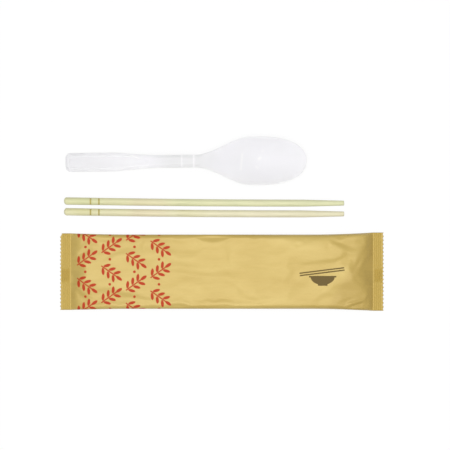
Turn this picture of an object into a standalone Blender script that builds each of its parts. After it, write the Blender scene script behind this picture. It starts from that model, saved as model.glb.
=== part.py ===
# Disposable spoon and chopstick set, laid out on a table: a moulded plastic spoon,
# a pair of round bamboo chopsticks, and the sealed paper pack that holds a like set.
# Metres, +Z up. The origin is on the table, in the middle of the layout.

import math

import bmesh
import bpy

# Spoon plan, as stretches that follow each other from the handle's end to the bowl's tip
PADDLE_LENGTH = 0.0303
PADDLE_WIDTH = 0.0134
PADDLE_END_LENGTH = 0.0050
TAPER_LENGTH = 0.0357
NECK_LENGTH = 0.0271
NECK_WIDTH = 0.0090
FLARE_LENGTH = 0.0393
BOWL_PARALLEL_LENGTH = 0.0065
BOWL_NOSE_LENGTH = 0.0331
BOWL_WIDTH = 0.0344

# Spoon section
SPOON_WALL = 0.0013
BOWL_DEPTH = 0.0080
BOWL_TIP_DROP = 0.0005
HOLLOW_START_IN_FLARE = 0.0070
CREST_HEIGHT = 0.0125
CREST_FROM_BOWL_FLARE = 0.0057
LIP_DROP = 0.0013
LIP_RUN = 0.0018
RECESS_DEPTH = 0.0004
RECESS_MARGIN = 0.0024
RECESS_END_FROM_NECK = 0.0060
RECESS_POINT_LENGTH = 0.0220
RECESS_SLOPE_RUN = 0.0012
RIM_LAND = 0.0012
RIM_CHAMFER = 0.0003

# Chopsticks
STICK_LENGTH = 0.2000
STICK_BUTT_DIAMETER = 0.0053
STICK_SHOULDER_DIAMETER = 0.0050
STICK_TIP_DIAMETER = 0.0035
STICK_TIP_TAPER_LENGTH = 0.0290
STICK_DOME_LENGTH = 0.0019
STICK_TIP_CHAMFER = 0.0003
RING_FROM_BUTT = 0.0186
RING_SPACING = 0.0060
RING_WIDTH = 0.0009
RING_DEPTH = 0.0002

# Sealed pack
PACK_LENGTH = 0.2312
PACK_BOWL_END_WIDTH = 0.0560
PACK_HANDLE_END_WIDTH = 0.0548
PACK_BODY_WIDTH = 0.0530
PACK_WAIST_RUN = 0.0450
PACK_BOWL_HEIGHT = 0.0100
PACK_HANDLE_HEIGHT = 0.0078
PACK_BOWL_STEP_START = 0.0050
PACK_BOWL_STEP_END = 0.0480
PACK_BOWL_END_STEEP_RUN = 0.0090
PACK_BOWL_END_CORNER_RUN = 0.0022
PACK_BOWL_END_EASY_RUN = 0.0140
PACK_HANDLE_END_STEEP_RUN = 0.0070
PACK_HANDLE_END_CORNER_RUN = 0.0035
PACK_HANDLE_END_EASY_RUN = 0.0150
PACK_STEEP_SHARE = 0.56
PACK_BELLY_RISE = 0.0140
PACK_SIDE_HEIGHT = 0.0032
PACK_SKIN = 0.0005
PACK_CROWN_FLATNESS = 7.0
BULGE_FROM_MIDDLE = 0.0660
BULGE_OFFSET = 0.0145
BULGE_LENGTH = 0.0490
BULGE_WIDTH = 0.0190
BULGE_LIFT = 0.0008
EDGE_DENT_FROM_MIDDLE = -0.0070
EDGE_DENT_LENGTH = 0.0270
EDGE_DENT_REACH = 0.0065
EDGE_DENT_DEPTH = 0.0015
SEAL_LENGTH = 0.0078
SEAL_HEIGHT = 0.0020
SEAL_TEETH = 20
TOOTH_DEPTH = 0.0009
RIB_COUNT = 4
RIB_PITCH = 0.0015
RIB_HEIGHT = 0.0003
FIN_WIDTH = 0.0100
FIN_OFFSET = -0.0028
FIN_THICKNESS = 0.0003
FIN_STEP_RUN = 0.0003

# Layout on the table, from the pack upwards
PACK_TO_LOWER_STICK = 0.0140
STICK_PITCH = 0.0077
UPPER_STICK_TO_BOWL = 0.0121
STICK_END_INSET = 0.0028
SPOON_END_INSET = 0.0038
STICK_TURN = math.radians(-0.45)
SPOON_TURN = math.radians(0.42)

# Mesh fineness
SPOON_CELLS_ACROSS = 14
SPOON_END_ROWS = 4
SPOON_BODY_ROWS = 48
SPOON_NOSE_ROWS = 12
STICK_SIDES = 24
PACK_BODY_ROWS = 44

# Outline exponents: 2 is an ellipse, larger is squarer
BOWL_SQUARENESS = 2.25
PADDLE_SQUARENESS = 3.6
BOWL_SECTION_POWER = 2.4

# Spoon stations along its length, from the handle's end
TAPER_START = PADDLE_LENGTH
NECK_START = TAPER_START + TAPER_LENGTH
FLARE_START = NECK_START + NECK_LENGTH
FLARE_END = FLARE_START + FLARE_LENGTH
NOSE_START = FLARE_END + BOWL_PARALLEL_LENGTH
SPOON_LENGTH = NOSE_START + BOWL_NOSE_LENGTH
RIM_HEIGHT = BOWL_DEPTH + SPOON_WALL

# Pack stations
PACK_END = PACK_LENGTH / 2
SEAL_INNER = PACK_END - SEAL_LENGTH


def smooth(t):
    """0 to 1 with level ends."""
    t = min(1.0, max(0.0, t))
    return t * t * (3 - 2 * t)


def blend(a, b, t):
    return a + (b - a) * t


def linear_colour(code):
    """A colour written as six hex digits, as linear RGBA."""
    channels = [int(code[i:i + 2], 16) / 255 for i in (0, 2, 4)]
    return [c / 12.92 if c <= 0.04045 else ((c + 0.055) / 1.055) ** 2.4 for c in channels] + [1.0]


def make_material(name, code, roughness):
    material = bpy.data.materials.new(name)
    material.use_nodes = True
    shader = material.node_tree.nodes["Principled BSDF"]
    shader.inputs["Base Color"].default_value = linear_colour(code)
    shader.inputs["Roughness"].default_value = roughness
    shader.inputs["Metallic"].default_value = 0.0
    return material


def add_object(name, mesh, collection, material):
    obj = bpy.data.objects.new(name, mesh)
    collection.objects.link(obj)
    if not mesh.materials:
        mesh.materials.append(material)
    return obj


def spoon_half_width(x):
    """Half the spoon's width where its sides are straight stations, x from the handle's end."""
    if x < FLARE_START:
        return blend(PADDLE_WIDTH, NECK_WIDTH, smooth((x - TAPER_START) / TAPER_LENGTH)) / 2
    return blend(NECK_WIDTH, BOWL_WIDTH, smooth((x - FLARE_START) / FLARE_LENGTH)) / 2


def rounded_end(u, v, length, half_width, squareness):
    """Maps half a square (u 0 to 1, v -1 to 1) onto half a superellipse, ring by ring. Its
    ring 1 is the inner edge of the rim's flat land, and a ring past 1 is the outline."""
    ring = max(u, abs(v))
    if ring == 0:
        return 0.0, 0.0
    u = min(1.0, u)
    v = math.copysign(min(1.0, abs(v)), v)
    px = u * math.sqrt(1 - v * v / 2)
    py = v * math.sqrt(1 - u * u / 2)
    share = min(1.0, ring) / (abs(px) ** squareness + abs(py) ** squareness) ** (1 / squareness)
    land = RIM_LAND if ring <= 1 else 0.0
    return px * share * (length - land), py * share * (half_width - land)


def spoon_grid_point(row, column):
    """Plan position of a grid point, how far out it is (0 on the midline, 1 on the rim's
    land) and its distance from the outline. The outermost lines of the grid are the outline."""
    v = (column - SPOON_CELLS_ACROSS / 2) / (SPOON_CELLS_ACROSS / 2 - 1)
    nose_row = row - SPOON_END_ROWS - SPOON_BODY_ROWS
    u = 0.0
    if row < SPOON_END_ROWS:
        u = (SPOON_END_ROWS - row) / (SPOON_END_ROWS - 1)
        x, y = rounded_end(u, v, PADDLE_END_LENGTH, PADDLE_WIDTH / 2, PADDLE_SQUARENESS)
        x = PADDLE_END_LENGTH - x
    elif nose_row > 0:
        u = nose_row / (SPOON_NOSE_ROWS - 1)
        x, y = rounded_end(u, v, BOWL_NOSE_LENGTH, BOWL_WIDTH / 2, BOWL_SQUARENESS)
        x += NOSE_START
    else:
        x = blend(PADDLE_END_LENGTH, NOSE_START, (row - SPOON_END_ROWS) / SPOON_BODY_ROWS)
        half_width = spoon_half_width(x)
        y = v * (half_width - RIM_LAND) if abs(v) <= 1 else math.copysign(half_width, v)
    ring = max(u, abs(v))
    if ring > 1:
        return x, y, 1.0, 0.0
    return x, y, ring, RIM_LAND + (1 - ring) * (spoon_half_width(x) - RIM_LAND)


def spoon_edge_height(x):
    """Height of the spoon's midline before lip and hollow: it lies on the table at the
    handle's end, arches over the neck and comes down to the bowl's rim."""
    crest_at = FLARE_START - CREST_FROM_BOWL_FLARE
    end_height = LIP_DROP + SPOON_WALL
    if x < crest_at:
        return blend(end_height, CREST_HEIGHT, smooth(x / crest_at))
    if x < NOSE_START:
        return blend(CREST_HEIGHT, RIM_HEIGHT, smooth((x - crest_at) / (FLARE_END - crest_at)))
    return RIM_HEIGHT - BOWL_TIP_DROP * ((x - NOSE_START) / BOWL_NOSE_LENGTH) ** 2


def spoon_surface_height(x, out, from_edge):
    """Height of the upper face: the midline's, less the hollow, the lip and the recess."""
    hollow_start = FLARE_START + HOLLOW_START_IN_FLARE
    hollow = smooth((x - hollow_start) / (NOSE_START - hollow_start))
    hollow *= BOWL_DEPTH * (1 - out ** BOWL_SECTION_POWER)
    on_handle = 1 - smooth((x - FLARE_START) / HOLLOW_START_IN_FLARE)
    lip = LIP_DROP * on_handle * (1 - smooth((from_edge - RIM_LAND) / LIP_RUN))
    recess_end = NECK_START - RECESS_END_FROM_NECK
    narrowing = max(0.0, (x - recess_end + RECESS_POINT_LENGTH) / RECESS_POINT_LENGTH) ** 2
    margin = blend(RECESS_MARGIN, PADDLE_WIDTH / 2, narrowing)
    recess = RECESS_DEPTH * smooth((from_edge - margin) / RECESS_SLOPE_RUN)
    return spoon_edge_height(x) - hollow - lip - recess


def make_spoon(collection, material):
    rows = SPOON_END_ROWS + SPOON_BODY_ROWS + SPOON_NOSE_ROWS
    bm = bmesh.new()
    bmesh.ops.create_grid(bm, x_segments=rows, y_segments=SPOON_CELLS_ACROSS, size=1)
    for vertex in bm.verts:
        row = round((vertex.co.x + 1) / 2 * rows)
        column = round((vertex.co.y + 1) / 2 * SPOON_CELLS_ACROSS)
        x, y, out, from_edge = spoon_grid_point(row, column)
        vertex.co = (x - NOSE_START, y, spoon_surface_height(x, out, from_edge))
    mesh = bpy.data.meshes.new("spoon")
    bm.to_mesh(mesh)
    bm.free()
    mesh.shade_smooth()
    spoon = add_object("spoon", mesh, collection, material)
    wall = spoon.modifiers.new("wall", "SOLIDIFY")
    wall.thickness = SPOON_WALL
    wall.offset = -1
    wall.use_even_offset = True
    rim = spoon.modifiers.new("rim", "BEVEL")
    rim.width = RIM_CHAMFER
    rim.segments = 1
    rim.limit_method = "ANGLE"
    rim.angle_limit = math.radians(50)
    return spoon


def stick_profile():
    """Points (distance from the butt, radius) along the outside of a chopstick."""
    butt_radius = STICK_BUTT_DIAMETER / 2
    shoulder_radius = STICK_SHOULDER_DIAMETER / 2
    tip_radius = STICK_TIP_DIAMETER / 2
    shoulder = STICK_LENGTH - STICK_TIP_TAPER_LENGTH

    def body_radius(x):
        return blend(butt_radius, shoulder_radius, x / shoulder)

    dome_points = 5
    points = []
    for k in range(dome_points):
        angle = math.pi / 2 * k / dome_points
        points.append((STICK_DOME_LENGTH * (1 - math.cos(angle)), butt_radius * math.sin(angle)))
    points.append((STICK_DOME_LENGTH, body_radius(STICK_DOME_LENGTH)))
    for ring in range(2):
        middle = RING_FROM_BUTT + ring * RING_SPACING
        for offset, depth in ((-0.5, 0), (-0.2, 1), (0.2, 1), (0.5, 0)):
            x = middle + offset * RING_WIDTH
            points.append((x, body_radius(x) - depth * RING_DEPTH))
    points.append((shoulder, shoulder_radius))
    points.append((STICK_LENGTH - STICK_TIP_CHAMFER, tip_radius))
    points.append((STICK_LENGTH, tip_radius - STICK_TIP_CHAMFER))
    points.append((STICK_LENGTH, 0.0))
    return points


def make_stick_mesh():
    """A chopstick's outline, to be turned about Z, with its butt at the top."""
    mesh = bpy.data.meshes.new("chopstick")
    points = [(radius, 0.0, STICK_LENGTH / 2 - x) for x, radius in stick_profile()]
    edges = [(k, k + 1) for k in range(len(points) - 1)]
    mesh.from_pydata(points, edges, [])
    return mesh


def make_stick(name, mesh, collection, material):
    stick = add_object(name, mesh, collection, material)
    turn = stick.modifiers.new("turn", "SCREW")
    turn.axis = "Z"
    turn.angle = math.tau
    turn.steps = STICK_SIDES
    turn.render_steps = STICK_SIDES
    turn.use_merge_vertices = True
    turn.merge_threshold = 0.00001
    turn.use_smooth_shade = True
    return stick


def place_stick(stick, y):
    """Lays the stick down, butt to the left, with its tapered side line on the table."""
    shoulder = STICK_LENGTH - STICK_TIP_TAPER_LENGTH
    lean = math.atan((STICK_BUTT_DIAMETER - STICK_SHOULDER_DIAMETER) / 2 / shoulder)
    middle_radius = STICK_BUTT_DIAMETER / 2 - math.tan(lean) * STICK_LENGTH / 2
    x = -PACK_END + STICK_END_INSET + STICK_LENGTH / 2
    stick.location = (x, y, middle_radius / math.cos(lean))
    stick.rotation_euler = (0, -math.pi / 2 + lean, STICK_TURN)


def pack_row_positions():
    """Distances along the pack of its grid rows, from its left end to its right end."""
    ribs = RIB_COUNT * RIB_PITCH
    margin = (SEAL_LENGTH - TOOTH_DEPTH - ribs) / 2
    first_rib = TOOTH_DEPTH + margin
    seal = [0.0, first_rib]
    seal += [first_rib + (k + 0.5) * RIB_PITCH / 2 for k in range(2 * RIB_COUNT)]
    seal += [first_rib + ribs]
    left = [-PACK_END + d for d in seal]
    spread = [2 * k / PACK_BODY_ROWS - 1 for k in range(PACK_BODY_ROWS + 1)]
    body = [SEAL_INNER * (1.25 * t - 0.25 * t ** 3) for t in spread]
    right = [-x for x in reversed(left)]
    return left + body + right


def rib_height(x):
    """The crimped ribs: one wave for each, across the seal's ribbed band."""
    ribs = RIB_COUNT * RIB_PITCH
    first_rib = TOOTH_DEPTH + (SEAL_LENGTH - TOOTH_DEPTH - ribs) / 2
    along = PACK_END - abs(x) - first_rib
    if along < 0 or along > ribs:
        return 0.0
    return RIB_HEIGHT / 2 * math.sin(math.tau * along / RIB_PITCH)


def pack_half_width(x):
    inside = max(0.0, SEAL_INNER - abs(x))
    waist = max(0.0, 1 - inside / PACK_WAIST_RUN) ** 2
    end_width = PACK_BOWL_END_WIDTH if x > 0 else PACK_HANDLE_END_WIDTH
    return blend(PACK_BODY_WIDTH, end_width, waist) / 2


def column_positions():
    """Where the grid's columns lie across the pack's body, as shares of its half width: even,
    save that two columns meet each long edge of the back seam's flap."""
    count = 2 * SEAL_TEETH
    columns = [blend(-1, 1, k / count) for k in range(count + 1)]
    half = PACK_BODY_WIDTH / 2
    step = FIN_STEP_RUN / half
    low = (FIN_OFFSET - FIN_WIDTH / 2) / half
    high = (FIN_OFFSET + FIN_WIDTH / 2) / half
    first = min(range(1, count), key=lambda k: abs(columns[k] - low))
    last = min(range(first + 2, count), key=lambda k: abs(columns[k] - high))
    columns[first - 1:first + 1] = [low - step, low]
    columns[last:last + 2] = [high, high + step]
    return columns, range(first, last + 1)


def edge_dent(x, v):
    """How far the paper is pushed in at the far long edge, in a hollow shaped like half a lens."""
    along = (x - EDGE_DENT_FROM_MIDDLE) / (EDGE_DENT_LENGTH / 2)
    across = (1 - v) * PACK_BODY_WIDTH / 2 / EDGE_DENT_REACH
    edge_fade = smooth(2 * across)
    return EDGE_DENT_DEPTH * edge_fade * (1 - smooth(math.hypot(along, across)))


def end_rise(x, v):
    """How far the pack has risen from its seal, 0 to 1: a steep slope that is shorter towards
    the corners, then an easy one."""
    inside = SEAL_INNER - abs(x)
    if x > 0:
        longest, shortest = PACK_BOWL_END_STEEP_RUN, PACK_BOWL_END_CORNER_RUN
        easy_run = PACK_BOWL_END_EASY_RUN
    else:
        longest, shortest = PACK_HANDLE_END_STEEP_RUN, PACK_HANDLE_END_CORNER_RUN
        easy_run = PACK_HANDLE_END_EASY_RUN
    steep_run = blend(longest, shortest, smooth(abs(v) / 0.85))
    easy = math.sin(math.pi / 2 * min(1.0, inside / (steep_run + easy_run)))
    return min(PACK_STEEP_SHARE * inside / steep_run, blend(PACK_STEEP_SHARE, 1.0, easy))


def bulge(x, v):
    """The lift over the bowl inside, sharper at its tip."""
    along = (x - BULGE_FROM_MIDDLE) / (BULGE_LENGTH / 2)
    across = (v * PACK_BODY_WIDTH / 2 - BULGE_OFFSET) / (BULGE_WIDTH / 2)
    fade = 0.22 if along > 0 else 0.6
    return BULGE_LIFT * (1 - smooth((math.hypot(along, across) - 0.78) / fade)) * smooth((1 - abs(v)) / 0.2)


def pack_heights(x, v, on_fin):
    """Heights of the pack's upper and lower faces at a station x, a share v of the half width."""
    inside = SEAL_INNER - abs(x)
    if inside <= 0:
        middle = SEAL_HEIGHT + rib_height(x)
        return middle + PACK_SKIN / 2, middle - PACK_SKIN / 2
    step = (x - PACK_BOWL_STEP_START) / (PACK_BOWL_STEP_END - PACK_BOWL_STEP_START)
    height = blend(PACK_HANDLE_HEIGHT, PACK_BOWL_HEIGHT, smooth(step))
    side = blend(SEAL_HEIGHT, PACK_SIDE_HEIGHT, smooth(inside / PACK_BELLY_RISE))
    rise = end_rise(x, v)
    crown = (1 - abs(v) ** PACK_CROWN_FLATNESS) ** 0.6
    top = side + PACK_SKIN / 2 + (height - side - PACK_SKIN / 2) * rise * crown
    top += bulge(x, v) * rise - edge_dent(x, v)
    belly = smooth(inside / PACK_BELLY_RISE) * (1 - smooth((abs(v) - 0.72) / 0.28))
    floor = 0.0 if on_fin else FIN_THICKNESS
    return top, blend(side - PACK_SKIN / 2, floor, belly)


def make_pack(collection, material):
    rows = pack_row_positions()
    body_columns, fin_columns = column_positions()
    count = len(body_columns) - 1
    bm = bmesh.new()
    bmesh.ops.create_grid(bm, x_segments=len(rows) - 1, y_segments=count, size=1)
    upper = set(bm.verts)
    bmesh.ops.extrude_face_region(bm, geom=bm.faces[:], use_keep_orig=True)
    for vertex in bm.verts:
        row = round((vertex.co.x + 1) / 2 * (len(rows) - 1))
        column = round((vertex.co.y + 1) / 2 * count)
        x = rows[row]
        settled = smooth(max(0.0, SEAL_INNER - abs(x)) / PACK_BELLY_RISE)
        v = blend(blend(-1, 1, column / count), body_columns[column], settled)
        top, bottom = pack_heights(x, v, column in fin_columns)
        if row in (0, len(rows) - 1) and column % 2:
            x -= math.copysign(TOOTH_DEPTH, x)
        vertex.co = (x, v * pack_half_width(x), top if vertex in upper else bottom)
    bmesh.ops.recalc_face_normals(bm, faces=bm.faces[:])
    mesh = bpy.data.meshes.new("sealed_pack")
    bm.to_mesh(mesh)
    bm.free()
    mesh.shade_smooth()
    mesh.set_sharp_from_angle(angle=math.radians(40))
    return add_object("sealed_pack", mesh, collection, material)


def clear_scene():
    for obj in list(bpy.data.objects):
        bpy.data.objects.remove(obj, do_unlink=True)


def main():
    clear_scene()
    collection = bpy.data.collections.new("spoon_and_chopstick_set")
    bpy.context.scene.collection.children.link(collection)
    plastic = make_material("white_polypropylene", "EFEEF0", 0.3)
    bamboo = make_material("bamboo", "E3E0B6", 0.6)
    paper = make_material("kraft_paper", "DFC781", 0.55)

    pack_width = max(PACK_BOWL_END_WIDTH, PACK_HANDLE_END_WIDTH)
    depth = pack_width + PACK_TO_LOWER_STICK + STICK_PITCH + UPPER_STICK_TO_BOWL + BOWL_WIDTH
    pack_y = -depth / 2 + pack_width / 2
    lower_stick_y = pack_y + pack_width / 2 + PACK_TO_LOWER_STICK
    upper_stick_y = lower_stick_y + STICK_PITCH
    spoon_y = upper_stick_y + UPPER_STICK_TO_BOWL + BOWL_WIDTH / 2

    pack = make_pack(collection, paper)
    pack.location.y = pack_y

    stick_mesh = make_stick_mesh()
    lower_stick = make_stick("chopstick_lower", stick_mesh, collection, bamboo)
    place_stick(lower_stick, lower_stick_y)
    upper_stick = make_stick("chopstick_upper", stick_mesh, collection, bamboo)
    place_stick(upper_stick, upper_stick_y)

    spoon = make_spoon(collection, plastic)
    spoon.location = (-PACK_END + SPOON_END_INSET + NOSE_START, spoon_y, 0)
    spoon.rotation_euler.z = SPOON_TURN


main()
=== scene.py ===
import math

import bmesh
import bpy
from mathutils import Matrix, Vector, noise


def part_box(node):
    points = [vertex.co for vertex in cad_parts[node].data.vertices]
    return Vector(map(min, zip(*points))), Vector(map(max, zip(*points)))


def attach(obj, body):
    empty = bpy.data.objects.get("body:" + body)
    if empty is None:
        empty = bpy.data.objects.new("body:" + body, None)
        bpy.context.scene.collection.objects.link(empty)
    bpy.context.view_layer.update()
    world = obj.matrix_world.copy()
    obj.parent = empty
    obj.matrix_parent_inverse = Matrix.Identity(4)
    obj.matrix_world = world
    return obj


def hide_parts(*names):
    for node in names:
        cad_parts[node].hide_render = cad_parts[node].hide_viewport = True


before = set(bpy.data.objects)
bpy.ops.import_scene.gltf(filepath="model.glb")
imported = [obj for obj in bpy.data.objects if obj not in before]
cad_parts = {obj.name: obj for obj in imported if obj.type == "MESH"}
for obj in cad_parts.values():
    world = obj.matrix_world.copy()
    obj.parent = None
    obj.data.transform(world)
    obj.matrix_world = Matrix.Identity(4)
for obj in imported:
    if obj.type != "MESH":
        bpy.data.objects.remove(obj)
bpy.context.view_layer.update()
print("the packed model is loaded")

mm = 0.001  # one millimetre in the scene's metres


# Small helpers that the pieces share

def smooth(t):
    t = min(1.0, max(0.0, t))
    return t * t * (3 - 2 * t)


def blend(a, b, t):
    return a + (b - a) * t


def hexColour(code):  # an sRGB hex colour as linear RGBA
    channels = [int(code[i:i + 2], 16) / 255 for i in (1, 3, 5)]
    return [c / 12.92 if c <= 0.04045 else ((c + 0.055) / 1.055) ** 2.4 for c in channels] + [1.0]


def add(tree, kind, *values, inputs=None, **settings):
    made = tree.nodes.new("ShaderNode" + kind)  # values fill the sockets in use, in order
    for name, value in settings.items():
        setattr(made, name, value)
    inUse = [socket for socket in made.inputs if socket.enabled]
    named = [(made.inputs[name], value) for name, value in (inputs or {}).items()]
    for socket, value in [*zip(inUse, values), *named]:
        if isinstance(value, bpy.types.Node):  # a node stands for its first output in use
            value = next(output for output in value.outputs if output.enabled)
        if isinstance(value, bpy.types.NodeSocket):
            tree.links.new(value, socket)
        elif value is not None:
            socket.default_value = value
    return made


def newMaterial(name):
    material = bpy.data.materials.new(name)
    material.use_nodes = True
    tree = material.node_tree
    return material, tree, tree.nodes["Principled BSDF"]


def newPiece(name, bm, material):
    mesh = bpy.data.meshes.new(name)
    bm.to_mesh(mesh)
    bm.free()
    mesh.shade_smooth()
    mesh.materials.append(material)
    piece = bpy.data.objects.new(name, mesh)
    bpy.context.scene.collection.objects.link(piece)
    return piece


def standFor(piece, node):
    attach(piece, "root")
    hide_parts(node)


# The spoon: one injection moulding of white polypropylene. Lengths in mm, from the handle's end

spoonSet = {
    "paddle": 30.3, "paddleWidth": 13.4, "paddleEnd": 5.0, "paddleSquareness": 3.6, "taper": 35.7,
    "neck": 27.1, "neckWidth": 9.0, "flare": 39.3,
    "bowlStraight": 6.5, "bowlNose": 33.1, "bowlWidth": 34.4, "noseSquareness": 2.25,
    "wall": 1.3, "bowlDepth": 8.0, "bowlFullness": 2.4, "tipDrop": 0.5, "hollowStart": 7.0,
    "crest": 12.5, "crestBack": 5.7,
    "lipDrop": 0.55, "lipRun": 2.0, "land": 0.5, "rimRound": 0.3,
    "recessDepth": 0.3, "recessMargin": 2.2, "recessBack": 1.0, "recessPoint": 17.0, "recessSlope": 1.0,
    "turn": 0.42,
    "marks": (  # raised lines and spots left by the mould, each whitened by a painted highlight: from, to, half width, height, how strong the painted highlight is
        (83.3, -4.0, 83.3, 4.0, 0.55, 0.12, 0.45), (91.8, -4.2, 91.8, 4.2, 0.6, 0.12, 0.6),
        (46.6, 4.6, 52.6, 2.3, 0.45, 0.05, 0.7), (53.0, -4.3, 59.0, -2.9, 0.45, 0.05, 0.7),
        (126.3, 5.0, 125.4, -6.0, 0.6, 0.10, 0.7), (138.3, 1.5, 139.0, 2.2, 0.9, 0.14, 0.9),
        (136.2, -4.0, 137.4, -4.8, 0.9, 0.06, 0.35), (140.8, 7.2, 141.2, 7.2, 0.8, 0.06, 0.35),
    ),
    "marksFade": 1.2,  # how near the edge the marks begin to fade
    "cellsAcross": 44, "endRows": 12, "bodyRows": 190, "noseRows": 40, "rimSteps": 3, "rimAngle": 50,
    # the milk's two tones, and the white of the painted highlights on the mould's marks
    "milk": ("#F2F0F7", "#F4F3F8"), "highlightWhite": "#FEFCFF",
    "paintedNeckShade": (86.0, 8.0, 34.0, "#E0E0E1"),  # painted shade on the thick neck: its middle, half length, faded by, and shaded tone
    "flowMark": 14.3, "ripple": 6.25, "rippleHeight": 0.12,
    "roughness": 0.30, "gloss": 0.07, "milkiness": 0.85, "seeThrough": 3.0,
}

neckStart = spoonSet["paddle"] + spoonSet["taper"]  # the stations along the spoon
flareStart = neckStart + spoonSet["neck"]
flareEnd = flareStart + spoonSet["flare"]
noseStart = flareEnd + spoonSet["bowlStraight"]


def spoonHalfWidth(x):
    s = spoonSet
    if x < flareStart:
        return blend(s["paddleWidth"], s["neckWidth"], smooth((x - s["paddle"]) / s["taper"])) / 2
    return blend(s["neckWidth"], s["bowlWidth"], smooth((x - flareStart) / s["flare"])) / 2


def roundedEnd(u, v, length, halfWidth, squareness):
    ring = max(u, abs(v))  # ring 1 is the inner edge of the rim's land, past 1 is the outline
    if ring == 0:
        return 0.0, 0.0
    u, v = min(1.0, u), math.copysign(min(1.0, abs(v)), v)
    px, py = u * math.sqrt(1 - v * v / 2), v * math.sqrt(1 - u * u / 2)
    share = min(1.0, ring) / (abs(px) ** squareness + abs(py) ** squareness) ** (1 / squareness)
    land = spoonSet["land"] if ring <= 1 else 0.0
    return px * share * (length - land), py * share * (halfWidth - land)


def spoonMarks(x, y):  # how far the mould's marks stand up at a point, and how strong the painted highlight on them is there
    lift = whiter = 0.0
    for x0, y0, x1, y1, halfWidth, height, white in spoonSet["marks"]:
        dx, dy = x1 - x0, y1 - y0
        along = min(1.0, max(0.0, ((x - x0) * dx + (y - y0) * dy) / (dx * dx + dy * dy)))
        near = math.exp(-(math.hypot(x - x0 - along * dx, y - y0 - along * dy) / halfWidth) ** 2)
        lift += height * near
        whiter = max(whiter, white * near)
    return lift, whiter


def spoonHeight(x, out, fromEdge):  # out is 0 on the middle line and 1 at the rim
    s = spoonSet
    crestAt = flareStart - s["crestBack"]
    rim = s["bowlDepth"] + s["wall"]
    if x < crestAt:
        edge = blend(s["lipDrop"] + s["wall"], s["crest"], smooth(x / crestAt))
    elif x < noseStart:
        edge = blend(s["crest"], rim, smooth((x - crestAt) / (flareEnd - crestAt)))
    else:
        edge = rim - s["tipDrop"] * ((x - noseStart) / s["bowlNose"]) ** 2
    hollowStart = flareStart + s["hollowStart"]
    deep = smooth((x - hollowStart) / (noseStart - hollowStart))
    hollow = deep * s["bowlDepth"] * (1 - out ** s["bowlFullness"])
    onHandle = 1 - smooth((x - flareStart) / s["hollowStart"])
    lip = s["lipDrop"] * onHandle * (1 - smooth((fromEdge - s["land"]) / s["lipRun"]))
    recessEnd = neckStart - s["recessBack"]
    narrowing = max(0.0, (x - recessEnd + s["recessPoint"]) / s["recessPoint"]) ** 2
    margin = blend(s["recessMargin"], s["paddleWidth"] / 2, narrowing)
    recess = s["recessDepth"] * smooth((fromEdge - margin) / s["recessSlope"])
    return edge - hollow - lip - recess


def polypropylene():
    # White PP from a polished mould: milky, a little see-through at thin edges, soft clear highlights.
    # It has faint flow marks and a ripple of the mould's polish; painted highlights whiten the mould's marks,
    # and a painted shade makes the thick neck greyer
    s = spoonSet
    material, tree, shader = newMaterial("moulded_polypropylene")
    place = add(tree, "TexCoord").outputs["Object"]
    cloud = add(tree, "TexNoise", inputs={"Vector": place, "Scale": 1 / (s["flowMark"] * mm), "Detail": 3.0})
    milk = add(tree, "Mix", cloud, *map(hexColour, s["milk"]), data_type="RGBA")
    # Painted shade: the thick neck is given a greyer tone so it renders no brighter than the handle
    middle, full, faded, tone = s["paintedNeckShade"]
    along = add(tree, "Math", add(tree, "SeparateXYZ", place), middle * mm, operation="SUBTRACT")
    away = add(tree, "Math", along, operation="ABSOLUTE")
    paintedNeckShade = add(tree, "MapRange", away, full * mm, faded * mm, 1.0, 0.0, interpolation_type="SMOOTHSTEP")
    milk = add(tree, "Mix", paintedNeckShade, milk.outputs[2], hexColour(tone), data_type="RGBA")
    # Painted highlights: the mould's marks are mixed towards white, standing in for glints of light
    whiter = add(tree, "Attribute", attribute_name="whiter").outputs["Fac"]
    milk = add(tree, "Mix", whiter, milk.outputs[2], hexColour(s["highlightWhite"]), data_type="RGBA")
    tree.links.new(milk.outputs[2], shader.inputs["Base Color"])
    ripple = add(tree, "TexNoise", inputs={"Vector": place, "Scale": 1 / (s["ripple"] * mm), "Detail": 2.0})
    bump = add(tree, "Bump", inputs={
        "Strength": 0.25, "Distance": s["rippleHeight"] * mm, "Height": ripple.outputs["Fac"]})
    tree.links.new(bump.outputs[0], shader.inputs["Normal"])
    shader.inputs["Roughness"].default_value = s["roughness"]
    shader.inputs["IOR"].default_value = 1.49
    shader.inputs["Specular IOR Level"].default_value = s["gloss"]  # a fine mould texture scatters the rest
    shader.inputs["Subsurface Weight"].default_value = s["milkiness"]
    shader.inputs["Subsurface Radius"].default_value = (1.0, 1.0, 1.0)
    shader.inputs["Subsurface Scale"].default_value = s["seeThrough"] * mm
    return material


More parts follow.
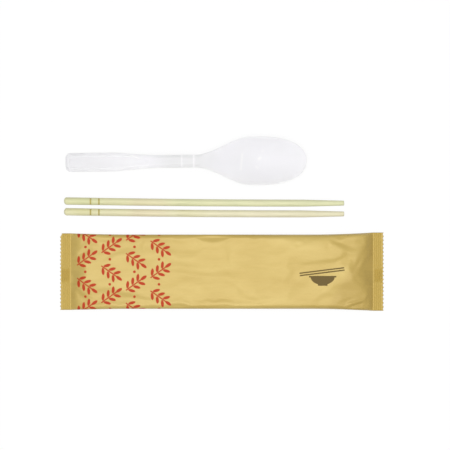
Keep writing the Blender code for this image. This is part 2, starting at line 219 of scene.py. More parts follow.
def makeSpoon():
    s = spoonSet
    rows = s["endRows"] + s["bodyRows"] + s["noseRows"]
    half = s["cellsAcross"] / 2
    bm = bmesh.new()
    # this layer holds the painted highlights on the mould's marks
    layer = bm.verts.layers.float.new("whiter")
    bmesh.ops.create_grid(bm, x_segments=rows, y_segments=s["cellsAcross"], size=1)
    upper = set(bm.verts)
    bmesh.ops.extrude_face_region(bm, geom=bm.faces[:], use_keep_orig=True)
    for vertex in bm.verts:
        row = round((vertex.co.x + 1) / 2 * rows)
        column = round((vertex.co.y + 1) / 2 * s["cellsAcross"])
        v = (column - half) / (half - 1)
        noseRow = row - s["endRows"] - s["bodyRows"]
        u = 0.0
        if row < s["endRows"]:
            u = (s["endRows"] - row) / (s["endRows"] - 1)
            x, y = roundedEnd(u, v, s["paddleEnd"], s["paddleWidth"] / 2, s["paddleSquareness"])
            x = s["paddleEnd"] - x
        elif noseRow > 0:
            u = noseRow / (s["noseRows"] - 1)
            x, y = roundedEnd(u, v, s["bowlNose"], s["bowlWidth"] / 2, s["noseSquareness"])
            x += noseStart
        else:
            x = blend(s["paddleEnd"], noseStart, (row - s["endRows"]) / s["bodyRows"])
            halfWidth = spoonHalfWidth(x)
            y = v * (halfWidth - s["land"]) if abs(v) <= 1 else math.copysign(halfWidth, v)
        ring = max(u, abs(v))
        fromEdge = 0.0 if ring > 1 else s["land"] + (1 - ring) * (spoonHalfWidth(x) - s["land"])
        height = spoonHeight(x, min(1.0, ring), fromEdge)
        below = max(0.0, height - s["wall"])
        if vertex in upper:
            lift, vertex[layer] = spoonMarks(x, y)
            height += lift * smooth(fromEdge / s["marksFade"])
        vertex.co = Vector((x, y, height if vertex in upper else below)) * mm
    bmesh.ops.recalc_face_normals(bm, faces=bm.faces)
    spoon = newPiece("moulded_spoon", bm, polypropylene())
    low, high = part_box("spoon")
    turn = math.radians(s["turn"])
    bowlY = high.y - s["bowlWidth"] / 2 * mm
    spoon.location = (low.x, bowlY - math.sin(turn) * noseStart * mm, 0)
    spoon.rotation_euler.z = turn
    rim = spoon.modifiers.new("rim", "BEVEL")
    rim.width = s["rimRound"] * mm
    rim.segments = s["rimSteps"]
    rim.limit_method = "ANGLE"
    rim.angle_limit = math.radians(s["rimAngle"])
    standFor(spoon, "spoon")
    print("spoon made")


# The chopsticks: two turned bamboo rods. Lengths in mm, from the butt

stickSet = {
    "length": 200.0, "butt": 5.3, "shoulder": 5.0, "tip": 3.5, "tipTaper": 29.0, "dome": 1.9,
    "tipChamfer": 0.3, "ringsAt": (19.1, 25.1), "ringWidth": 0.9, "ringDepth": 0.2,
    "bow": 0.48, "turn": -0.45, "uneven": (0.012, 22.22),  # how uneven the turning is, and over what length
    "sides": 48, "rowPitch": 1.6, "domeRows": 8,
    # each rod's greener, middle and pinker tone, the tone towards its tip, and its own unevenness
    "upper": {"tones": ("#D2D3A1", "#DAD8AA", "#DBD2A9"), "tipTone": "#DADBB1", "seed": 3.1},
    "lower": {"tones": ("#D6D19E", "#DEDAB1", "#DCD2AC"), "tipTone": "#E3DCBE", "seed": 8.7},
    "tipToned": (40.0, 130.0, 0.75),  # where the tip's tone begins, is full, and how strong it is
    "stretch": 38.5, "fibre": 0.667, "fleck": 0.278, "drawnOut": 0.035,  # fibres 30 times as long as wide
    "fibreShade": (0.93, 1.05), "fleckShade": 0.80, "burnt": "#B4A65C", "fibreHeight": 0.08,
    "roughness": 0.58, "sheen": 0.2,
}


def stickRadius(x):
    s = stickSet
    shoulder = s["length"] - s["tipTaper"]
    if x < s["dome"]:
        return s["butt"] / 2 * math.sqrt(max(0.0, 1 - (1 - x / s["dome"]) ** 2))
    if x < shoulder:
        radius = blend(s["butt"], s["shoulder"], x / shoulder) / 2
    else:
        radius = blend(s["shoulder"], s["tip"], (x - shoulder) / s["tipTaper"]) / 2
    for at in s["ringsAt"]:
        radius -= s["ringDepth"] * smooth(1.6 * (1 - abs(x - at) / (s["ringWidth"] / 2)))
    return radius - max(0.0, x - (s["length"] - s["tipChamfer"]))


def stickStations():
    s = stickSet
    quarter = math.pi / 2 / s["domeRows"]
    dome = [s["dome"] * (1 - math.cos(quarter * k)) for k in range(s["domeRows"] + 1)]
    rings = [at + s["ringWidth"] * k / 12 for at in s["ringsAt"] for k in range(-8, 9)]
    count = round(s["length"] / s["rowPitch"])
    even = [s["length"] * k / count for k in range(2, count)]
    even = [x for x in even if all(abs(x - at) > s["ringWidth"] for at in s["ringsAt"])]
    return sorted(dome + rings + even + [s["length"] - s["tipChamfer"], s["length"]])


def bamboo(which):
    # Turned, unvarnished bamboo: pale straw with fine fibres along the rod, greener and pinker
    # stretches, small dark flecks where the fibre bundles are cut, and two burnt rings
    s, rod = stickSet, stickSet[which]
    material, tree, shader = newMaterial("turned_bamboo_" + which)
    place = add(tree, "TexCoord").outputs["Object"]
    drawnOut = add(tree, "Mapping", inputs={"Vector": place, "Scale": (s["drawnOut"], 1.0, 1.0)})
    stretches = add(tree, "TexNoise", inputs={
        "Vector": place, "Scale": 1 / (s["stretch"] * mm), "Detail": 1.0})
    fibres = add(tree, "TexNoise", inputs={
        "Vector": drawnOut, "Scale": 1 / (s["fibre"] * mm), "Detail": 4.0})
    flecks = add(tree, "TexNoise", inputs={
        "Vector": drawnOut, "Scale": 1 / (s["fleck"] * mm), "Detail": 1.0})
    tone = add(tree, "ValToRGB", stretches.outputs["Fac"])
    for element, position in zip(tone.color_ramp.elements, (0.36, 0.64)):
        element.position = position
    tone.color_ramp.elements.new(0.5)
    for element, code in zip(tone.color_ramp.elements, rod["tones"]):
        element.color = hexColour(code)
    x = add(tree, "SeparateXYZ", place)
    begins, full, strength = s["tipToned"]
    toTip = add(tree, "MapRange", x, begins * mm, full * mm, 0.0, strength)
    tone = add(tree, "Mix", toTip, tone, hexColour(rod["tipTone"]), data_type="RGBA")
    grain = add(tree, "MapRange", fibres.outputs["Fac"], 0.35, 0.65, *s["fibreShade"])
    fleck = add(tree, "MapRange", flecks.outputs["Fac"], 0.66, 0.74, 1.0, s["fleckShade"])
    shade = add(tree, "Math", grain, fleck, operation="MULTIPLY")
    fibrous = add(tree, "VectorMath", tone.outputs[2], operation="SCALE", inputs={"Scale": shade.outputs[0]})
    burnt = None
    for at in s["ringsAt"]:
        away = add(tree, "Math", add(tree, "Math", x, at * mm, operation="SUBTRACT"), operation="ABSOLUTE")
        ring = add(tree, "MapRange", away, 0.4 * s["ringWidth"] * mm, 0.85 * s["ringWidth"] * mm, 1.0, 0.0)
        burnt = ring if burnt is None else add(tree, "Math", burnt, ring, operation="MAXIMUM")
    colour = add(tree, "Mix", burnt, fibrous, hexColour(s["burnt"]), data_type="RGBA")
    tree.links.new(colour.outputs[2], shader.inputs["Base Color"])
    bump = add(tree, "Bump", inputs={
        "Strength": 0.5, "Distance": s["fibreHeight"] * mm, "Height": fibres.outputs["Fac"]})
    tree.links.new(bump.outputs[0], shader.inputs["Normal"])
    shader.inputs["Roughness"].default_value = s["roughness"]
    shader.inputs["Sheen Weight"].default_value = s["sheen"]  # loose fibre ends catch the light at the sides
    shader.inputs["IOR"].default_value = 1.5
    return material


def makeStick(which):
    s = stickSet
    bm = bmesh.new()
    ends = [bm.verts.new((x * mm, stickRadius(x) * mm, 0)) for x in stickStations()]
    ends.append(bm.verts.new((s["length"] * mm, 0, 0)))
    edges = [bm.edges.new(pair) for pair in zip(ends, ends[1:])]
    bmesh.ops.spin(bm, geom=ends + edges, cent=(0, 0, 0), axis=(1, 0, 0), angle=math.tau,
                   steps=s["sides"], use_merge=True)
    bmesh.ops.remove_doubles(bm, verts=bm.verts, dist=0.01 * mm)
    bmesh.ops.recalc_face_normals(bm, faces=bm.faces)
    much, over = s["uneven"]
    for vertex in bm.verts:
        x = vertex.co.x / mm
        uneven = 1 + much * noise.noise(Vector((x / over, s[which]["seed"], 0)))  # a hand-fed machine
        vertex.co.y = vertex.co.y * uneven - s["bow"] * mm * math.sin(math.pi * x / s["length"])
        vertex.co.z *= uneven
    stick = newPiece("bamboo_stick_" + which, bm, bamboo(which))
    cadNode = "chopstick_" + which
    low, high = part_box(cadNode)
    stick.location = (low.x, high.y - s["butt"] / 2 * mm, s["butt"] / 2 * mm)
    lean = math.atan((s["butt"] - s["shoulder"]) / 2 / (s["length"] - s["tipTaper"]))
    stick.rotation_euler = (0, lean, math.radians(s["turn"]))
    standFor(stick, cadNode)
    print(which, "chopstick made")


# The sealed pack: one sheet of kraft paper, flow-wrapped. Lengths in mm, from its middle.
# Across, v runs from -1 at the edge near the viewer to 1 at the edge near the chopsticks

packSet = {
    "length": 231.2, "bowlEndWidth": 56.0, "handleEndWidth": 54.8, "bodyWidth": 53.0, "waistRun": 45.0,
    "bowlHeight": 9.9, "handleHeight": 7.8, "bowlStep": (5.0, 48.0), "skin": 0.5,
    "flatness": 36.0, "crown": 0.15, "sideRoundness": 0.6, "sideHeight": 5.0, "sideGather": 12.0,
    "bellyRise": 14.0, "bellyFlat": 0.72,
    # how each end rises from its seal: the steep run and its share of the height, at the seam and
    # beside it, then how far the easy rise reaches, below and above the middle
    "bowlEnd": (7.5, 3.0, 0.60, 0.46, 32.0, 15.0), "handleEnd": (6.0, 3.0, 0.58, 0.42, 25.0, 25.0),
    "seamAt": -0.04, "seamReach": 0.6, "bendSharpness": 12,
    "dents": (  # middle, half length, half width, depth
        (-7.0, 26.8, 14.0, 6.5, 1.5), (83.5, 27.2, 6.0, 5.0, 1.0), (-31.0, -26.8, 12.0, 5.0, 1.0),
        (-104.5, -5.3, 5.0, 6.0, 0.6), (75.5, 18.5, 1.8, 5.0, 0.35), (54.0, 19.0, 2.5, 2.5, 0.35),
    ),
    # the bowl inside: middle, half length, half width and how far it lifts, then where its edge begins
    # and how wide it is, away from its tip and at its tip
    "bowl": (66.0, 14.5, 24.5, 9.5, 0.65), "bowlEdge": (0.4, 0.78), "bowlEdgeWidth": (0.9, 0.22),
    "bowlTip": (0.3, 0.5), "bowlClear": 0.2,
    "creases": (  # from, to, depth, width
        (88.0, -25.8, 103.5, -21.0, 1.7, 1.5), (101.5, -25.5, 105.5, -15.0, 0.8, 1.5),
        (105.0, 20.0, 93.0, -2.0, 0.55, 2.4), (93.0, -3.0, 106.0, -13.0, 0.55, 2.2),
        (49.0, 3.5, 84.0, 8.0, 0.22, 1.6),
        (-107.0, 8.0, -92.0, 19.0, 0.45, 2.4), (-107.0, -11.0, -94.0, -22.0, 0.45, 2.4),
    ),
    "creaseFade": 0.3, "edgeClear": 0.1,
    "seal": 7.8, "sealHeight": 2.0, "teeth": 20, "tooth": 0.9, "cornerRound": 1.3, "cornerFrom": 0.93,
    "ribs": 4, "ribPitch": 1.5, "ribHeight": 0.50, "ribShare": (0.6, 1.4),  # beside the seam and on it
    "finWidth": 10.0, "finOffset": -2.8, "finThickness": 0.3, "finEdge": 0.6, "finShift": 0.35,
    "finRise": 0.12, "finDrop": 0.10,
    "seed": 4.7, "crumple": 0.07, "crumpleFrom": 3.0, "facet": (34.0, 13.0), "wrinkle": (4.5, 2.5, 0.3),
    "cell": 1.45, "ribRows": 5,
    # the paper's simulation: how much longer it is along and across, how firmly it keeps its shape,
    # how stiffly it bends, and how far its points may move
    "slack": (0.001, 0.009), "hold": 3.0, "bend": 0.3, "mostMove": 0.45, "heldEnd": 4.0, "heldEdge": 0.08,
    "simScale": 10.0, "simFrames": 26, "squeezedBy": 12,
    "print": {
        "from": -106.0, "to": -36.0, "cell": (17.5, 17.7), "tilt": 35.0,  # sprigs in a half-drop repeat
        "stem": (7.4, 0.42), "leafPitch": 4.4, "leafAt": (0.3, 2.55), "leafTilt": 50.0,
        "leafSize": (2.6, 1.05), "tipAt": (8.0, 0.0), "tipSize": (2.5, 1.1), "dot": (0.95, 0.95),
        "signAt": (71.6, -3.4), "bars": (2.7, 4.4), "barHalf": (16.0, 0.45), "barTilt": 7.0,
        "bowlHalf": (8.6, 5.8), "rimHalf": (9.7, 0.55), "footHalf": (3.4, 0.7), "footDrop": 5.7,
        "red": "#B82602", "brown": "#624F25", "edge": 0.12, "bleed": 0.08, "cover": 0.94,
    },
    "paper": {
        "tones": ("#BEA357", "#C4AA5F", "#CAB167"), "sealed": "#BA9E4C",
        "paintedEndShade": ("#BBA056", 86.0, 93.0, 0.55),  # painted shade towards the bowl's end: its tone, where it begins and is full, and its slant
        "layeredAndShaded": (7.5, 5.0, 0.93), "layeredAndShadedOver": (1.5, 1.0),  # darker near the seal, partly for the layers and partly as painted shade, and past the seam's sides
        # the patterns' lengths along and across, and how far the lower side lies from the upper in them
        "mottle": (38.0, 15.0, 7.0), "streak": (26.0, 1.7, 3.0), "fibre": 0.5,
        "streakShade": (0.985, 1.012), "fibreShade": (0.97, 1.03), "relief": 0.5, "fibreRelief": 0.10,
        "pearl": 0.08, "roughness": 0.44, "inkRoughness": 0.7, "gloss": 0.34,
    },
}


def packRows():
    s = packSet
    end, inner = s["length"] / 2, s["length"] / 2 - s["seal"]
    steps = s["ribRows"] * (s["ribs"] + 1)
    seal = [end - s["tooth"] - (s["seal"] - s["tooth"]) * k / steps for k in range(1, steps)]
    count = round(2 * inner / s["cell"])
    body = [blend(-inner, inner, k / count) for k in range(count + 1)]
    return [-end] + [-x for x in seal] + body + seal[::-1] + [end]


def packHalfWidth(x):
    s = packSet
    inside = max(0.0, s["length"] / 2 - s["seal"] - abs(x))
    waist = max(0.0, 1 - inside / s["waistRun"]) ** 2
    return blend(s["bodyWidth"], s["bowlEndWidth"] if x > 0 else s["handleEndWidth"], waist) / 2


def softMin(a, b, sharpness):
    return (max(a, 0.001) ** -sharpness + max(b, 0.001) ** -sharpness) ** (-1 / sharpness)


def packHeights(x, v):  # the heights of the upper and the lower sheet
    s = packSet
    inside = s["length"] / 2 - s["seal"] - abs(x)
    skin = s["skin"] / 2
    y = v * packHalfWidth(x)
    onFin = smooth(((s["finWidth"] + s["finEdge"]) / 2 - abs(y - s["finOffset"])) / s["finEdge"])
    if inside <= 0:
        ribbed = s["ribs"] * s["ribPitch"]
        along = -inside - (s["seal"] - s["tooth"] - ribbed) / 2 - s["finShift"] * onFin
        wave = math.sin(math.tau * along / s["ribPitch"]) if 0 < along < ribbed else 0.0
        middle = s["sealHeight"] + s["ribHeight"] * blend(*s["ribShare"], onFin) * wave / 2
        return middle + skin + s["finRise"] * onFin, middle - skin - s["finDrop"] * onFin
    step = (x - s["bowlStep"][0]) / (s["bowlStep"][1] - s["bowlStep"][0])
    height = blend(s["handleHeight"], s["bowlHeight"], smooth(step))
    side = blend(s["sealHeight"], s["sideHeight"], smooth(inside / s["bellyRise"]))
    longest, shortest, most, least, reachBelow, reachAbove = s["bowlEnd"] if x > 0 else s["handleEnd"]
    beside = smooth(abs(v - s["seamAt"]) / s["seamReach"])
    steepRun, steepShare = blend(longest, shortest, beside), blend(most, least, beside)
    reach = blend(reachBelow, reachAbove, smooth(v + 0.5))
    easy = steepShare + (1 - steepShare) * math.sin(math.pi / 2 * min(1.0, inside / reach))
    rise = softMin(steepShare * inside / steepRun, easy, s["bendSharpness"])
    crown = (1 - s["crown"] * v * v) * (1 - abs(v) ** s["flatness"]) ** s["sideRoundness"]
    top = side + skin + (height - side - skin) * rise * crown
    for dentX, dentY, halfLength, halfWidth, depth in s["dents"]:
        out = math.hypot((x - dentX) / halfLength, (y - dentY) / halfWidth)
        top -= depth * (1 - smooth(out)) * smooth((1 - abs(v)) / s["edgeClear"])
    bx, by, halfLength, halfWidth, lift = s["bowl"]
    out = math.hypot((x - bx) / halfLength, (y - by) / halfWidth)
    tipFrom, tipRun = s["bowlTip"]
    atTip = smooth(((x - bx) / halfLength / max(out, 0.01) - tipFrom) / tipRun)  # the edge shows at the tip
    edge, width = blend(*s["bowlEdge"], atTip), blend(*s["bowlEdgeWidth"], atTip)
    top += lift * (1 - smooth((out - edge) / width)) * rise * smooth((1 - abs(v)) / s["bowlClear"])
    belly = smooth(inside / s["bellyRise"]) * (1 - smooth((abs(v) - s["bellyFlat"]) / (1 - s["bellyFlat"])))
    bottom = blend(side - skin, s["finThickness"] * (1 - onFin), belly)
    return top, bottom


def ridged(x, y, seed):  # low ridges between soft facets that are drawn out along the pack
    length, width = packSet["facet"]
    return 1 - 4 * abs(noise.noise(Vector((x / length, y / width, seed))))


def crumpleAt(x, y):
    s = packSet
    length, width, share = s["wrinkle"]
    wrinkle = noise.noise(Vector((x / length, y / width, s["seed"])))
    # Finer facets lie in the large ones
    lift = ridged(x, y, s["seed"]) + 0.5 * ridged(1.9 * x, 1.9 * y, s["seed"] + 9)
    lift = s["crumple"] * (lift + share * wrinkle)
    for x0, y0, x1, y1, depth, width in s["creases"]:
        length = math.hypot(x1 - x0, y1 - y0)
        ax, ay = (x1 - x0) / length, (y1 - y0) / length
        along = (x - x0) * ax + (y - y0) * ay
        across = (x - x0) * ay - (y - y0) * ax
        fadeRun = s["creaseFade"] * length
        fade = smooth(along / fadeRun) * smooth((length - along) / fadeRun)
        lift += depth * fade * (math.exp(-abs(across + width) / width) - math.exp(-abs(across) / width))
    return lift


def slackened(bm, free):
    # Cloth finds how paper that is a little longer than its shape buckles between its seals
    s = packSet
    scale = s["simScale"]
    mesh = bpy.data.meshes.new("slack_paper")
    bm.to_mesh(mesh)
    mesh.transform(Matrix.Scale(scale, 4))
    sheet = bpy.data.objects.new("slack_paper", mesh)
    bpy.context.scene.collection.objects.link(sheet)
    group = sheet.vertex_groups.new(name="held")
    for vertex, freedom in free.items():
        group.add([vertex], 1 - freedom, "REPLACE")
    cloth = sheet.modifiers.new("paper", "CLOTH")
    settings = cloth.settings
    settings.quality = 6
    settings.mass = 0.3
    settings.tension_stiffness = settings.compression_stiffness = 40
    settings.shear_stiffness = 20
    settings.bending_stiffness = s["bend"]
    settings.air_damping = 3
    settings.vertex_group_mass = "held"
    settings.pin_stiffness = s["hold"]
    sheet.shape_key_add(name="as it lies")
    slack = sheet.shape_key_add(name="slack")
    for vertex, point in zip(mesh.vertices, slack.data):
        x, y, z = vertex.co
        point.co = (x * (1 + s["slack"][0]), y * (1 + s["slack"][1]), z)
    for number, share in ((1, 1.0), (s["squeezedBy"], 0.0)):  # cut longer, then squeezed into its shape
        slack.value = share
        slack.keyframe_insert("value", frame=number)
    settings.effector_weights.gravity = 0
    scene = bpy.context.scene
    for number in range(1, s["simFrames"] + 1):
        scene.frame_set(number)
    found = sheet.evaluated_get(bpy.context.evaluated_depsgraph_get()).to_mesh()
    moves = [(after.co - before.co) / scale for after, before in zip(found.vertices, mesh.vertices)]
    scene.frame_set(1)
    bpy.data.objects.remove(sheet)
    bpy.data.meshes.remove(mesh)
    return moves


# The print is made of boxes and ovals, each known by how far inside it a point lies, in mm

endless = 999.0  # farther than the sheet reaches


def seenFrom(tree, point, at, tilt):  # where a point lies for a shape that stands at a place, tilted
    moved = add(tree, "VectorMath", point, (*at, 0.0), operation="SUBTRACT")
    return add(tree, "VectorRotate", moved, (0.0, 0.0, 0.0), rotation_type="Z_AXIS",
               inputs={"Angle": math.radians(-tilt)})


def boxDepth(tree, point, half, at=(0.0, 0.0), tilt=0.0):
    apart = add(tree, "VectorMath", seenFrom(tree, point, at, tilt), operation="ABSOLUTE")
    apart = add(tree, "SeparateXYZ", apart)
    deepX = add(tree, "Math", half[0], apart.outputs["X"], operation="SUBTRACT")
    deepY = add(tree, "Math", half[1], apart.outputs["Y"], operation="SUBTRACT")
    return add(tree, "Math", deepX, deepY, operation="MINIMUM")


def ovalDepth(tree, point, half, at=(0.0, 0.0), tilt=0.0):  # near enough at the oval's edge
    share = add(tree, "VectorMath", seenFrom(tree, point, at, tilt), (*half, 1.0), operation="DIVIDE")
    length = add(tree, "VectorMath", share, operation="LENGTH")
    inside = add(tree, "Math", 1.0, length, operation="SUBTRACT")
    return add(tree, "Math", inside, half[1], operation="MULTIPLY")


def sprigs(tree, sheet):  # leafy sprigs that lean left and right by turns, with a dot between them
    s = packSet["print"]
    wide, high = s["cell"]
    drawn = add(tree, "VectorMath", sheet, (1 / wide, 1 / high, 0.0), (-s["from"] / wide, 100.0, 0.0),
                operation="MULTIPLY_ADD")
    column = add(tree, "Math", add(tree, "SeparateXYZ", drawn), operation="FLOOR")
    drop = add(tree, "CombineXYZ", 0.0, add(tree, "Math", column, 0.5, operation="MULTIPLY"))
    drawn = add(tree, "VectorMath", drawn, drop, operation="ADD")
    cell = add(tree, "SeparateXYZ", add(tree, "VectorMath", drawn, operation="FLOOR"))
    parity = add(tree, "Math", add(tree, "Math", cell.outputs["X"], cell.outputs["Y"]), 2.0,
                 operation="FLOORED_MODULO")
    within = add(tree, "VectorMath", drawn, operation="FRACTION")
    within = add(tree, "VectorMath", within, (wide, high, 0.0), (-wide / 2, -high / 2, 0.0),
                 operation="MULTIPLY_ADD")
    lean = add(tree, "MapRange", parity, 0.0, 1.0, math.radians(-s["tilt"]), math.radians(s["tilt"]))
    stem = add(tree, "VectorRotate", within, (0.0, 0.0, 0.0), rotation_type="Z_AXIS", inputs={"Angle": lean})
    along = add(tree, "SeparateXYZ", stem)
    pair = add(tree, "Math", along.outputs["X"], s["leafPitch"], operation="DIVIDE")
    pair = add(tree, "Clamp", add(tree, "Math", pair, operation="ROUND"), -1.0, 1.0)  # three pairs of leaves
    beside = add(tree, "Math", pair, -s["leafPitch"], along.outputs["X"], operation="MULTIPLY_ADD")
    leaf = add(tree, "CombineXYZ", beside, add(tree, "Math", along.outputs["Y"], operation="ABSOLUTE"))
    ends = add(tree, "VectorMath", within, operation="ABSOLUTE")
    depth = boxDepth(tree, stem, s["stem"])
    for shape in (
        ovalDepth(tree, leaf, s["leafSize"], s["leafAt"], s["leafTilt"]),
        ovalDepth(tree, stem, s["tipSize"], s["tipAt"]),
        ovalDepth(tree, ends, s["dot"], (0.0, high / 2)),
    ):
        depth = add(tree, "Math", depth, shape, operation="MAXIMUM")
    middle, half = (s["from"] + s["to"]) / 2, (s["to"] - s["from"]) / 2
    field = boxDepth(tree, sheet, (half, endless), (middle, 0.0))
    return add(tree, "Math", depth, field, operation="MINIMUM")


def bowlSign(tree, sheet):  # a plain sign for food: a bowl on a foot, with two bars across it
    s = packSet["print"]
    x, y = s["signAt"]
    sign = add(tree, "VectorMath", sheet, (1.0, 1.0, 0.0), (-x, -y, 0.0), operation="MULTIPLY_ADD")
    lowerHalf = boxDepth(tree, sign, (endless, endless), (0.0, -endless))
    depth = add(tree, "Math", ovalDepth(tree, sign, s["bowlHalf"]), lowerHalf, operation="MINIMUM")
    shapes = [boxDepth(tree, sign, s["rimHalf"]), boxDepth(tree, sign, s["footHalf"], (0.0, -s["footDrop"]))]
    tilt = math.radians(s["barTilt"])
    for up in s["bars"]:
        at = (-up * math.sin(tilt), up * math.cos(tilt))
        shapes.append(boxDepth(tree, sign, s["barHalf"], at, s["barTilt"]))
    for shape in shapes:
        depth = add(tree, "Math", depth, shape, operation="MAXIMUM")
    return depth


def kraftPaper():
    # Kraft paper, machine-glazed, under a pearly gold varnish: warm, brighter where it faces the light,
    # with soft mottling and faint streaks along the web. Flexo print in red and brown, heat-sealed ends
    s, ink = packSet["paper"], packSet["print"]
    ends = packSet["length"] / 2 - packSet["seal"]
    material, tree, shader = newMaterial("golden_kraft_paper")
    sheet = add(tree, "Attribute", attribute_name="sheet").outputs["Vector"]  # mm along, mm across, 1 on top
    place = add(tree, "SeparateXYZ", sheet)
    long, wide, otherSide = s["mottle"]
    scaled = add(tree, "VectorMath", sheet, (1 / long, 1 / wide, otherSide), operation="MULTIPLY")
    mottle = add(tree, "TexNoise", inputs={"Vector": scaled, "Scale": 1.0, "Detail": 4.0, "Roughness": 0.55})
    long, wide, otherSide = s["streak"]
    scaled = add(tree, "VectorMath", sheet, (1 / long, 1 / wide, otherSide), operation="MULTIPLY")
    streak = add(tree, "TexNoise", inputs={"Vector": scaled, "Scale": 1.0, "Detail": 3.0})
    fibre = add(tree, "TexNoise", inputs={"Vector": sheet, "Scale": 1 / s["fibre"], "Detail": 2.0})
    tone = add(tree, "ValToRGB", mottle.outputs["Fac"])
    for element, position in zip(tone.color_ramp.elements, (0.30, 0.70)):
        element.position = position
    tone.color_ramp.elements.new(0.5)
    for element, code in zip(tone.color_ramp.elements, s["tones"]):
        element.color = hexColour(code)
    streakShade = add(tree, "MapRange", streak.outputs["Fac"], 0.3, 0.7, *s["streakShade"])
    fibreShade = add(tree, "MapRange", fibre.outputs["Fac"], 0.3, 0.7, *s["fibreShade"])
    shade = add(tree, "Math", streakShade, fibreShade, operation="MULTIPLY")
    # Towards the bowl's end a painted shade makes the paper deeper and warmer, standing in for the shade
    # there
    paintedEndShade, begins, full, slant = s["paintedEndShade"]
    slanted = add(tree, "Math", place.outputs["Y"], -slant, place.outputs["X"], operation="MULTIPLY_ADD")
    past = add(tree, "MapRange", slanted, begins, full, 0.0, 1.0, interpolation_type="SMOOTHSTEP")
    tone = add(tree, "Mix", past, tone, hexColour(paintedEndShade), data_type="RGBA")
    away = add(tree, "Math", place.outputs["X"], operation="ABSOLUTE")
    sealed = add(tree, "MapRange", away, ends - 0.3, ends + 0.5, 0.0, 1.0)
    paper = add(tree, "Mix", sealed, tone.outputs[2], hexColour(s["sealed"]), data_type="RGBA")
    # Near a seal the paper lies in three layers where the seam runs under it; it is darkened there partly for
    # those layers and partly as a painted shadow where the fin presses
    thickFrom, thickBy, thickShade = s["layeredAndShaded"]
    layeredAndShaded = add(tree, "MapRange", away, ends - thickFrom, ends - thickBy, 1.0, thickShade)
    layeredAndShaded = add(tree, "Mix", sealed, layeredAndShaded, 1.0, data_type="FLOAT")
    aside, wider = s["layeredAndShadedOver"]
    halfSeam, seamAt = packSet["finWidth"] / 2 + wider, packSet["finOffset"] - aside
    seam = boxDepth(tree, sheet, (endless, halfSeam), (0.0, seamAt))
    layeredAndShaded = add(tree, "Mix", add(tree, "MapRange", seam, 0.0, 1.0), 1.0, layeredAndShaded, data_type="FLOAT")
    shade = add(tree, "Math", shade, layeredAndShaded, operation="MULTIPLY")
    paper = add(tree, "VectorMath", paper.outputs[2], operation="SCALE", inputs={"Scale": shade.outputs[0]})
    # The ink creeps a little way along the fibres
    bleed = add(tree, "MapRange", fibre.outputs["Fac"], 0.3, 0.7, -ink["bleed"], ink["bleed"])
    onTop = add(tree, "MapRange", place.outputs["Z"], 0.45, 0.55)
    bare = add(tree, "Value")
    bare.outputs[0].default_value = 1.0
    for depth, code in ((sprigs(tree, sheet), ink["red"]), (bowlSign(tree, sheet), ink["brown"])):
        depth = add(tree, "Math", depth, bleed)
        inked = add(tree, "MapRange", depth, -ink["edge"], ink["edge"], 0.0, ink["cover"])
        inked = add(tree, "Math", inked, onTop, operation="MULTIPLY")
        paper = add(tree, "Mix", inked, paper, hexColour(code), data_type="RGBA")
        bare = add(tree, "Math", bare, inked, operation="SUBTRACT")
    tree.links.new(paper.outputs[2], shader.inputs["Base Color"])
    pearl = add(tree, "Math", bare, s["pearl"], operation="MULTIPLY")
    tree.links.new(pearl.outputs[0], shader.inputs["Metallic"])
    satin = add(tree, "MapRange", bare, 0.0, 1.0, s["inkRoughness"], s["roughness"])  # duller under the ink
    tree.links.new(satin.outputs[0], shader.inputs["Roughness"])
    fibreRelief = add(tree, "Math", fibre.outputs["Fac"], s["fibreRelief"], operation="MULTIPLY")
    relief = add(tree, "Math", mottle.outputs["Fac"], fibreRelief)
    bump = add(tree, "Bump", inputs={"Strength": 0.5, "Distance": s["relief"] * mm, "Height": relief})
    tree.links.new(bump.outputs[0], shader.inputs["Normal"])
    shader.inputs["IOR"].default_value = 1.5
    shader.inputs["Specular IOR Level"].default_value = s["gloss"]  # the varnish is thin and the paper porous
    return material


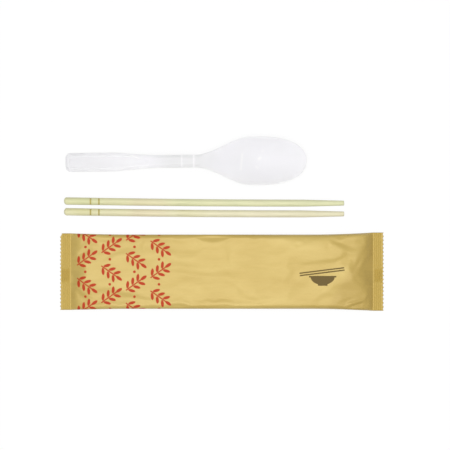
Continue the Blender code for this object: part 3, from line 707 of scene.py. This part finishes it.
def makePack():
    s = packSet
    rows = packRows()
    columns = 2 * s["teeth"]
    bm = bmesh.new()
    layer = bm.verts.layers.float_vector.new("sheet")
    crease = bm.verts.layers.float.new("crease_vert")
    bmesh.ops.create_grid(bm, x_segments=len(rows) - 1, y_segments=columns, size=1)
    upper = set(bm.verts)
    bmesh.ops.extrude_face_region(bm, geom=bm.faces[:], use_keep_orig=True)
    bm.verts.index_update()
    free, spots = {}, {}
    for vertex in bm.verts:
        row = round((vertex.co.x + 1) / 2 * (len(rows) - 1))
        column = round((vertex.co.y + 1) / 2 * columns)
        onTop = vertex in upper
        spots[row, column, onTop] = vertex
        x, even = rows[row], blend(-1, 1, column / columns)
        inside = s["length"] / 2 - s["seal"] - abs(x)
        gathered = (even + math.sin(math.pi / 2 * even)) / 2  # the columns lie closer at the folded sides
        v = blend(even, gathered, smooth(inside / s["sideGather"]))
        top, bottom = packHeights(x, v)
        y = v * packHalfWidth(x)
        if onTop and inside > 0:
            top += crumpleAt(x, y) * smooth(inside / s["crumpleFrom"]) * smooth((1 - abs(v)) / s["edgeClear"])
        free[vertex.index] = 0.0
        if onTop:
            free[vertex.index] = smooth(inside / s["heldEnd"]) * smooth((1 - abs(v)) / s["heldEdge"])
        if row in (0, len(rows) - 1):
            vertex[crease] = 1.0  # the cut teeth stay sharp when the rest is rounded
            x -= math.copysign(s["tooth"] * (column % 2), x)
        if x < 0:
            corner = max(0.0, (v - s["cornerFrom"]) / (1 - s["cornerFrom"])) ** 2
            x += s["cornerRound"] * corner * smooth(-inside / s["seal"])
        vertex.co = Vector((x, y, top if onTop else bottom)) * mm
    for row, column, onTop in spots:  # where each point lies on the flat paper, measured from the middle
        side = 1 if column > columns / 2 else -1
        across = 0.0
        for k in range(columns // 2, column, side):
            near, far = spots[row, k, onTop].co, spots[row, k + side, onTop].co
            across += math.hypot(far.y - near.y, far.z - near.z) / mm
        spot = spots[row, column, onTop]
        spot[layer] = (spot.co.x / mm, side * across, 1.0 if onTop else 0.0)
    bmesh.ops.recalc_face_normals(bm, faces=bm.faces)
    most = s["mostMove"] * mm
    moves = slackened(bm, free)
    print("paper let slack, largest move in mm:", round(max(move.length for move in moves) / mm, 2))
    for vertex, move in zip(bm.verts, moves):
        vertex.co += move * min(1.0, most / max(most, move.length))
    pack = newPiece("paper_pack", bm, kraftPaper())
    rounded = pack.modifiers.new("rounded", "SUBSURF")
    rounded.levels = rounded.render_levels = 1
    low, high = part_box("sealed_pack")
    pack.location = ((low.x + high.x) / 2, (low.y + high.y) / 2, 0)
    standFor(pack, "sealed_pack")
    print("pack made")


# Table, light and camera. Lengths in mm

studioSet = {
    "frameWidth": 321.9, "lookAt": (2.2, -0.8), "distance": 1500.0, "film": 36.0,
    "tableSize": 6000.0, "tableDrop": 0.02, "floor": "#D2D2D2", "floorRoughness": 0.9,
    "shadowed": 0.98, "white": 0.91,  # how pale the seen table is, and how far its shadows are washed out
    "worldTop": 0.70, "worldHorizon": 0.14,
    "lampSize": 620.0, "lampAt": (-30.0, -50.0, 1095.0), "lampPower": 7.4,
}


def makeStudio():
    s = studioSet
    scene = bpy.context.scene
    bpy.ops.mesh.primitive_plane_add(size=s["tableSize"] * mm, location=(0, 0, -s["tableDrop"] * mm))
    table = bpy.context.object
    table.name = "table_top"
    material, tree, shader = newMaterial("white_table")  # matt white, as in a product photograph
    shader.inputs["Base Color"].default_value = hexColour(s["floor"])
    shader.inputs["Roughness"].default_value = s["floorRoughness"]
    path = add(tree, "LightPath")
    seen = add(tree, "Math", path.outputs["Is Camera Ray"], path.outputs["Is Glossy Ray"],
               operation="MAXIMUM")
    seen = add(tree, "Math", seen, path.outputs["Is Transmission Ray"], operation="MAXIMUM")
    white = add(tree, "Emission", (1, 1, 1, 1), 1.0)
    pale = add(tree, "BsdfDiffuse", (s["shadowed"], s["shadowed"], s["shadowed"], 1))
    washed = add(tree, "MixShader", s["white"], pale.outputs[0], white.outputs[0])
    mixed = add(tree, "MixShader", seen, shader.outputs[0], washed.outputs[0])
    tree.links.new(mixed.outputs[0], tree.nodes["Material Output"].inputs["Surface"])
    table.data.materials.append(material)

    world = bpy.data.worlds.new("studio")
    scene.world = world
    world.use_nodes = True
    tree = world.node_tree
    up = add(tree, "SeparateXYZ", add(tree, "TexCoord").outputs["Generated"])
    sky = add(tree, "MapRange", up.outputs["Z"], 0.0, 0.9, s["worldHorizon"], s["worldTop"])
    path = add(tree, "LightPath")
    strength = add(tree, "Mix", path.outputs["Is Camera Ray"], sky, 1.0, data_type="FLOAT")
    background = tree.nodes["Background"]
    background.inputs["Color"].default_value = (1, 1, 1, 1)
    tree.links.new(strength.outputs[0], background.inputs["Strength"])

    lamp = bpy.data.lights.new("softbox", "AREA")
    lamp.size = s["lampSize"] * mm
    lamp.energy = s["lampPower"]
    box = bpy.data.objects.new("softbox", lamp)
    box.location = Vector(s["lampAt"]) * mm
    box.rotation_euler = (-box.location).to_track_quat("-Z", "Y").to_euler()
    scene.collection.objects.link(box)

    camera = bpy.data.cameras.new("camera")
    camera.sensor_width = s["film"]
    camera.lens = s["film"] * s["distance"] / s["frameWidth"]
    camera.clip_end = 10
    view = bpy.data.objects.new("camera", camera)
    view.location = (s["lookAt"][0] * mm, s["lookAt"][1] * mm, s["distance"] * mm)
    scene.collection.objects.link(view)
    scene.camera = view
    scene.view_settings.view_transform = "Standard"
    print("studio set")


makeStudio()
makeSpoon()
makeStick("upper")
makeStick("lower")
makePack()
